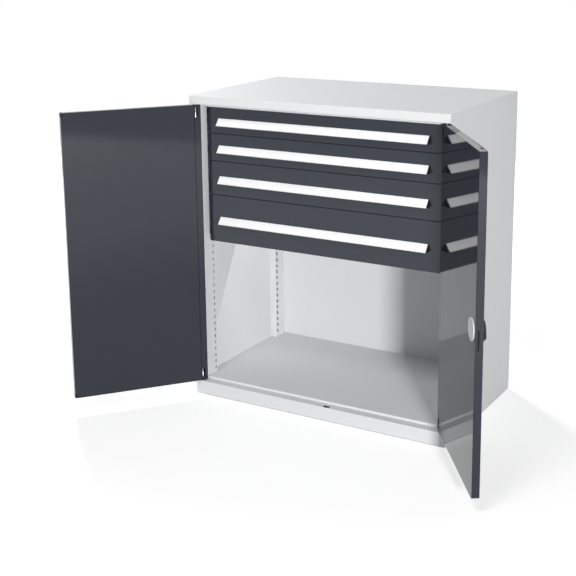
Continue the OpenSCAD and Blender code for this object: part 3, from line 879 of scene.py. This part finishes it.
class CABINET_OT_doors(bpy.types.Operator):
    """Rounds the door pans and liners, and shapes the pins, pockets and guides"""

    bl_idname = "cabinet.doors"
    bl_label = "Doors"

    def execute(self, context):
        sheet = context.scene.cabinet_sheet
        for side in ("left", "right"):
            body = f"{side}_door"
            shell = bent(f"{side}_door_shell", f"{side}_door_pan", sheet.fold, sheet.trim)
            liner = bent(f"{side}_door_liner", f"{side}_door_panel", sheet.fold, sheet.trim)
            dress(shell, "door_paint")
            dress(liner, "door_paint")
            pocket = bent(f"{side}_pin_pockets", f"{side}_finger_pockets", 0.0006, 0.0003)
            dress(pocket, "black_plastic")
            self.pins(side, body)
        guides = bent("left_corner_guides", "left_corner_blocks", 0.0011, 0.0004, 4)
        dress(guides, "black_plastic")
        dress(bent("rod_guides", "rod_guide_blocks", 0.0006, 0.0003), "black_plastic")
        return {"FINISHED"}

    def pins(self, side, body):
        """Round pins with a rounded tip and three grip grooves where a finger draws them back."""
        low, high = box(f"{side}_hinge_pins")
        middle = (low + high) / 2
        radius = (high[0] - low[0]) / 2
        reach = self.reach(side)
        waist, tip = 0.88 * radius, 0.0012
        profile = [(radius, 0.0)]
        for start in (0.016, 0.019, 0.022):
            profile += [(radius, start), (waist, start + 0.0008)]
            profile += [(waist, start + 0.0014), (radius, start + 0.0022)]
        profile += [
            (radius - tip * (1 - math.cos(a)), reach - tip * (1 - math.sin(a)))
            for a in np.linspace(0, np.pi / 2, 5)
        ]
        for end, base, up in (("upper", high[2] - reach, 1), ("lower", low[2] + reach, -1)):
            place = (middle[0], middle[1], base)
            pin = turned(f"{side}_{end}_pin", profile, place, (0, 0, up), 32)
            nodes = [f"{side}_hinge_pins"] if end == "upper" else []
            stands_for(pin, "zinc", body, *nodes)

    def reach(self, side):
        """Length of one pin: the pins' vertices in the upper half of the door."""
        co = np.array([v.co[2] for v in NODES[f"{side}_hinge_pins"].data.vertices])
        return float(co.max() - co[co > co.mean()].min())


# ---- lock ----


def lock_frame():
    """Lock axis on the door's outer face, and the directions out of the door, along it and up."""
    joint = JOINTS["handle_turn"]
    out = -np.array(joint["axis"])
    return np.array(joint["pos_m"]), out, np.cross(UP, out), UP


def grip_rings(low, high, tail_top, ends, shoulder, bore):
    """Rings of the grip in (across, up, out).

    The outline is the hull of two circles, given as (up, radius). It rises straight to the
    shoulder, follows an elliptic quarter arc inwards, crosses the top to the bore round the lock
    plug, given as (up, radius), and goes down that bore. The top is an arch along the grip: flat
    round the plug, and falling with a power of the distance towards both ends.
    """
    count = 96
    foot, rim, least = 0.0006, 0.0004, 0.0008
    key_fall, key_power, tail_power = 0.0072, 1.3, 1.8
    (y1, r1), (y2, r2) = ends
    tilt = math.asin((r1 - r2) / (y2 - y1))
    angle = np.linspace(0, 2 * np.pi, count, endpoint=False)
    ray = np.stack((np.cos(angle), np.sin(angle)), 1)
    tail = ray[:, 1] > math.sin(tilt)

    def outline(inset):
        base = np.where(tail, y2, y1)
        radius = np.where(tail, r2, r1) - inset
        return np.stack((ray[:, 0] * radius, base + ray[:, 1] * radius), 1)

    def top(y):
        above = np.clip((y - bore[0] - bore[1]) / (y2 + r2 - bore[0] - bore[1]), 0, 1)
        below = np.clip((bore[0] - bore[1] - y) / (bore[0] - bore[1] - y1 + r1), 0, 1)
        return high - (high - tail_top) * above**tail_power - key_fall * below**key_power

    rings = [np.c_[outline(foot), np.full(count, low)]]
    rings.append(np.c_[outline(0.0), np.full(count, low + foot)])
    for a in np.linspace(0, np.pi / 2, 8):
        plan = outline(shoulder * (1 - math.cos(a)))
        crest = top(plan[:, 1]) - rim
        fall = np.minimum(shoulder, crest - low - least)
        rings.append(np.c_[plan, crest - fall * (1 - math.sin(a))])
    inner = outline(shoulder)
    mouth = ray * (bore[1] + rim) + (0, bore[0])
    for t in np.linspace(0.15, 1, 8):
        plan = inner + (mouth - inner) * t
        rings.append(np.c_[plan, top(plan[:, 1]) - rim * (1 - t)])
    wall = ray * bore[1] + (0, bore[0])
    rings.append(np.c_[wall, np.full(count, high - rim)])
    rings.append(np.c_[wall, np.full(count, low + 0.001)])
    return np.array(rings)


class CABINET_OT_lock(bpy.types.Operator):
    """Shapes the turn handle, rose, lock plug, cover disc and the lock inside the door"""

    bl_idname = "cabinet.lock"
    bl_label = "Lock"

    def execute(self, context):
        lock = context.scene.cabinet_lock
        axis, out, along, up = lock_frame()
        drop = axis[2] - JOINTS["key_turn"]["pos_m"][2]
        low = lock.rose + lock.lift
        rings = grip_rings(
            low,
            lock.rose + lock.grip,
            low + lock.tail_height,
            ((-drop - lock.key_drop, lock.key_end), (lock.tail_up, lock.tail)),
            lock.shoulder,
            (-drop, lock.plug),
        )
        shaped = axis + rings[..., :1] * along + rings[..., 1:2] * up + rings[..., 2:] * out
        stands_for(skin("handle_grip", shaped), "handle_metal", "handle", "turn_handle")
        edge, step, end = 0.0005, -0.0027, -0.0095
        neck = ((lock.neck, low + 0.001), (lock.neck, step + edge), (lock.neck - edge, step))
        spindle = ((lock.spindle, step), (lock.spindle, end))
        stem = turned("handle_stem", neck + spindle, axis, out)
        stands_for(stem, "handle_metal", "handle")
        self.plug(lock, axis - drop * up, out, along, low)
        self.rose(lock, axis, out)
        self.cover(lock, axis, out)
        sheet = context.scene.cabinet_sheet
        for node, name, slot in (
            ("lock_case", "lock_box", "zinc"),
            ("lock_cam", "cam_disc", "zinc"),
            ("lock_rod_top", "upper_rod", "zinc"),
            ("lock_rod_bottom", "lower_rod", "zinc"),
            ("latch_blade", "latch_tongue", "black_plastic"),
            ("rose_screws", "rose_screw_pair", "zinc"),
        ):
            dress(bent(node, name, 0.0006, sheet.trim), slot)
        return {"FINISHED"}

    def plug(self, lock, place, out, along, low):
        """Lock plug: a rimmed face with a key slot, its rings squeezed to the slot's outline."""
        top = lock.rose + lock.grip - 0.0002
        bottom = low + 0.0013
        count = 64
        sunk, edge, mouth = 0.0004, 0.0005, 1.08
        slot_half, slot_depth = np.array((0.0008, 0.004)), 0.003
        angle = np.linspace(0, 2 * np.pi, count, endpoint=False)
        ray = np.stack((np.cos(angle), np.sin(angle)), 1)
        slot = np.clip(ray * 0.0056, -slot_half, slot_half)
        radius = lock.plug - 0.00005
        rows = [
            (ray * radius, bottom),
            (ray * radius, top - edge),
            (ray * (radius - edge), top),
            (ray * (radius - 0.0014), top),
            (ray * (radius - 0.0018), top - sunk),
            (ray * (radius - 0.0026), top - sunk),
            (slot * mouth, top - sunk),
            (slot, top - 0.0006),
            (slot, top - slot_depth),
        ]
        rings = np.array([np.c_[plan, np.full(count, h)] for plan, h in rows])
        shaped = place + rings[..., :1] * along + rings[..., 1:2] * UP + rings[..., 2:] * out
        stands_for(skin("key_plug_face", shaped), "zinc", "key_plug", "lock_plug")

    def rose(self, lock, axis, out):
        """Rose: a low dish with a rounded rim and a groove round the neck."""
        low, high = box("handle_rose")
        outer = (high[2] - low[2]) / 2
        bore = lock.neck + 0.00006
        arc, drop, edge, groove = 0.003, 0.0006, 0.0004, 0.0008
        rim = [
            (outer - arc * (1 - math.cos(a)), lock.rose - arc * (1 - math.sin(a)) - drop)
            for a in np.linspace(0, np.pi / 2, 7)
        ]
        profile = [(bore, 0.0), (outer - edge, 0.0), (outer, edge)] + rim
        profile += [
            (bore + 0.006, lock.rose),
            (bore + 0.0052, lock.rose - groove),
            (bore + 0.0008, lock.rose - groove),
            (bore, lock.rose - 0.0012),
            (bore, 0.0),
        ]
        rose = turned("handle_rose_dish", profile, axis, out, 96, False)
        stands_for(rose, "black_plastic", "right_door", "handle_rose")

    def cover(self, lock, axis, out):
        """Cover disc: a slightly dished face inside a rounded rim."""
        low, high = box("lock_cover")
        outer = (high[2] - low[2]) / 2
        door, thick = lock.door, lock.cover
        arc, flat, dish = 0.0007, 0.0038, 0.0003
        rim = [
            (outer - arc * (1 - math.sin(a)), thick - arc * (1 - math.cos(a)))
            for a in np.linspace(np.pi / 2, 0, 6)
        ]
        profile = [(outer, 0.0)] + rim
        profile += [(outer - flat, thick), (outer - flat - 0.0005, thick - dish)]
        profile += [(0.012, thick - dish)]
        disc = turned("lock_cover_disc", profile, axis - out * door, -out, 96)
        stands_for(disc, "cover_plastic", "right_door", "lock_cover")


# ---- drawers ----


def strip_outline(strip):
    """Section of the label strip: x out from the drawer front, y up from the strip's corner.

    A flat foot against the front, a face that slopes out and down by the reach over the drop, and
    two lips that stand off the face and hold the card.
    """
    wall, drop, reach = strip.wall, strip.drop, strip.reach
    length = math.hypot(reach - wall, drop)
    down = np.array((reach - wall, -drop)) / length
    out = np.array((-down[1], down[0]))
    corner = np.array((wall, wall))
    end = corner + down * (length + wall)
    lip, width = out * strip.lip, down * strip.lip_width
    behind = corner - out * wall
    behind = behind + down * ((wall - behind[0]) / down[0])
    return np.array(
        (
            (0, wall),
            corner,
            corner + lip,
            corner + lip + width,
            corner + width,
            end - width,
            end - width + lip,
            end + lip,
            end - out * wall,
            behind,
            (wall, -drop),
            (0, -drop),
        )
    )


class CABINET_OT_drawers(bpy.types.Operator):
    """Rounds the drawer fronts, trays and runners"""

    bl_idname = "cabinet.drawers"
    bl_label = "Drawers"

    def execute(self, context):
        sheet = context.scene.cabinet_sheet
        for k in DRAWERS:
            face = bent(f"drawer_front_{k}", f"drawer_face_{k}", sheet.fold, sheet.trim)
            tray = bent(f"drawer_tray_{k}", f"drawer_box_{k}", sheet.fold, sheet.trim)
            inner = bent(f"drawer_runners_{k}", f"inner_rails_{k}", 0.0012, sheet.trim)
            middle = bent(f"mid_runners_{k}", f"middle_rails_{k}", 0.0012, sheet.trim)
            dress(face, "drawer_paint")
            dress(tray, "tray_paint")
            dress(inner, "zinc")
            dress(middle, "zinc")
        return {"FINISHED"}


class CABINET_OT_strips(bpy.types.Operator):
    """Draws the aluminium label strips, their white cards and end caps"""

    bl_idname = "cabinet.strips"
    bl_label = "Label strips"

    def execute(self, context):
        strip = context.scene.cabinet_strip
        outline = strip_outline(strip)
        soft = rounded(outline, 0.0004, 3)
        peak = outline[:, 1].max()
        for k in DRAWERS:
            low, high = box(f"handle_strip_{k}")
            run = np.array((high[0] - low[0], 0, 0))
            start = np.array((low[0], high[1], high[2] - peak))
            piece = carried(f"label_strip_{k}", soft, start, run, (0, -1, 0), UP)
            stands_for(piece, "strip_aluminium", f"drawer_{k}", f"handle_strip_{k}")
            self.card(strip, k, start, run)
            dress(bent(f"strip_caps_{k}", f"strip_ends_{k}", 0.0008, 0.0004), "black_plastic")
        return {"FINISHED"}

    def card(self, strip, k, start, run):
        """White card between the lips, with its long edges softened."""
        outline = strip_outline(strip)
        top, bottom = outline[4], outline[5]
        down = (bottom - top) / np.linalg.norm(bottom - top)
        out = np.array((-down[1], down[0]))
        width = np.linalg.norm(bottom - top)
        card = np.array(((0, 0), (width, 0), (width, strip.card), (0, strip.card)))
        flat = rounded(card, 0.0002, 2)
        section = top + flat[:, :1] * down + flat[:, 1:] * out
        label = carried(f"label_card_{k}", section, start, run, (0, -1, 0), UP)
        stands_for(label, "label_card", f"drawer_{k}", f"label_{k}")


# ---- stage ----


# name, setting that holds the power, place, aim and diameter
LAMPS = (
    ("Key Lamp", "key", (4.92, -6.37, 2.21), (0.1, -0.2, 0.55), 0.7),
    ("Top Lamp", "top", (0.0, -4.5, 6.0), (0.0, 0.0, 0.6), 2.0),
    ("Fill Lamp", "fill", (-5.6, 4.9, 5.40), (0.0, 0.0, 0.6), 1.6),
)
# half the floor's side, and where it starts and ends turning into the background
FLOOR_REACH = 4.5
FLOOR_NEAR = 0.9
FLOOR_FAR = 2.6


def lamp(name, power, place, aim, size):
    """A round area lamp at a place, turned to its aim."""
    data = bpy.data.lights.new(name, "AREA")
    data.energy = power
    data.shape = "DISK"
    data.size = size
    thing = bpy.data.objects.new(name, data)
    thing.location = place
    thing.rotation_euler = (Vector(aim) - Vector(place)).to_track_quat("-Z", "Y").to_euler()
    bpy.context.scene.collection.objects.link(thing)


def seen_white(tree):
    """1 on rays that show the background: from the camera, off gloss and through glass."""
    path = tree.nodes.new("ShaderNodeLightPath")
    seen = combine(tree, "MAXIMUM", path.outputs["Is Camera Ray"], path.outputs["Is Glossy Ray"])
    return combine(tree, "MAXIMUM", seen, path.outputs["Is Transmission Ray"])


class CABINET_OT_stage(bpy.types.Operator):
    """Lays the floor and sets the lamps, the room light and the camera"""

    bl_idname = "cabinet.stage"
    bl_label = "Stage"

    def execute(self, context):
        stage = context.scene.cabinet_stage
        self.camera(context, stage)
        self.room(context, stage)
        self.floor(stage)
        for name, setting, place, aim, size in LAMPS:
            lamp(name, getattr(stage, setting), place, aim, size)
        context.scene.view_settings.view_transform = "Standard"
        return {"FINISHED"}

    def camera(self, context, stage):
        """The camera at its place: level heading and pitch first, then the roll about its axis."""
        data = bpy.data.cameras.new("Camera")
        data.sensor_width = 36.0
        data.lens = stage.lens
        data.shift_y = stage.rise
        thing = bpy.data.objects.new("Camera", data)
        thing.location = stage.place
        level = Euler((math.pi / 2 - stage.pitch, 0, stage.azimuth), "XYZ")
        turn = Euler((0, 0, stage.roll), "XYZ").to_matrix()
        thing.rotation_euler = (level.to_matrix() @ turn).to_euler()
        context.scene.collection.objects.link(thing)
        context.scene.camera = thing

    def room(self, context, stage):
        """White to the camera and in gloss, and a weak even light on everything else."""
        world = bpy.data.worlds.new("Room")
        world.use_nodes = True
        tree = world.node_tree
        light = tree.nodes["Background"]
        light.inputs["Color"].default_value = (1.0, 1.0, 1.0, 1.0)
        white = seen_white(tree)
        strength = combine(tree, "MULTIPLY_ADD", white, 1.0 - stage.ambient, stage.ambient)
        tree.links.new(strength, light.inputs["Strength"])
        context.scene.world = world

    def floor(self, stage):
        """A pale floor under the cabinet, lifted for the camera so that it fades to white."""
        mesh = bpy.data.meshes.new("Floor")
        corners = np.array(((-1, -1, 0), (1, -1, 0), (1, 1, 0), (-1, 1, 0)), float)
        below = np.array((0, 0, 0.0002))
        mesh.from_pydata(corners * FLOOR_REACH - below, [], [(0, 1, 2, 3)])
        thing = bpy.data.objects.new("Floor", mesh)
        bpy.context.scene.collection.objects.link(thing)
        made = Finish("Studio Floor", stage.floor, 0.9)
        made.shader.inputs["Specular IOR Level"].default_value = 0.0
        made.shader.inputs["Emission Color"].default_value = (1.0, 1.0, 1.0, 1.0)
        coord = made.tree.nodes.new("ShaderNodeTexCoord")
        distance = made.tree.nodes.new("ShaderNodeVectorMath")
        distance.operation = "LENGTH"
        made.tree.links.new(coord.outputs["Object"], distance.inputs[0])
        far = made.tree.nodes.new("ShaderNodeMapRange")
        far.interpolation_type = "SMOOTHSTEP"
        far.inputs["From Min"].default_value = FLOOR_NEAR
        far.inputs["From Max"].default_value = FLOOR_FAR
        far.inputs["To Min"].default_value = stage.lift
        far.inputs["To Max"].default_value = 1.0
        made.tree.links.new(distance.outputs["Value"], far.inputs["Value"])
        lift = combine(made.tree, "MULTIPLY", seen_white(made.tree), far.outputs[0])
        made.tree.links.new(lift, made.shader.inputs["Emission Strength"])
        mesh.materials.append(made.material)


class CABINET_PT_tools(bpy.types.Panel):
    """Lists the cabinet's makers in the sidebar"""

    bl_idname = "CABINET_PT_tools"
    bl_label = "Workshop Cabinet"
    bl_space_type = "VIEW_3D"
    bl_region_type = "UI"
    bl_category = "Cabinet"

    def draw(self, context):
        for maker in MAKERS:
            self.layout.operator(maker.bl_idname)


SETTINGS = {
    "cabinet_paints": CabinetPaints,
    "cabinet_sheet": CabinetSheet,
    "cabinet_strip": CabinetStrip,
    "cabinet_lock": CabinetLock,
    "cabinet_stage": CabinetStage,
}
MAKERS = (
    CABINET_OT_finishes,
    CABINET_OT_carcass,
    CABINET_OT_doors,
    CABINET_OT_lock,
    CABINET_OT_drawers,
    CABINET_OT_strips,
    CABINET_OT_stage,
)


def register():
    for kind in (*SETTINGS.values(), *MAKERS, CABINET_PT_tools):
        bpy.utils.register_class(kind)
    for name, kind in SETTINGS.items():
        setattr(bpy.types.Scene, name, bpy.props.PointerProperty(type=kind))


def unregister():
    for name in SETTINGS:
        delattr(bpy.types.Scene, name)
    for kind in reversed((*SETTINGS.values(), *MAKERS, CABINET_PT_tools)):
        bpy.utils.unregister_class(kind)


def main():
    register()
    for maker in MAKERS:
        area, step = maker.bl_idname.split(".")
        getattr(getattr(bpy.ops, area), step)()


if __name__ == "__main__":
    main()
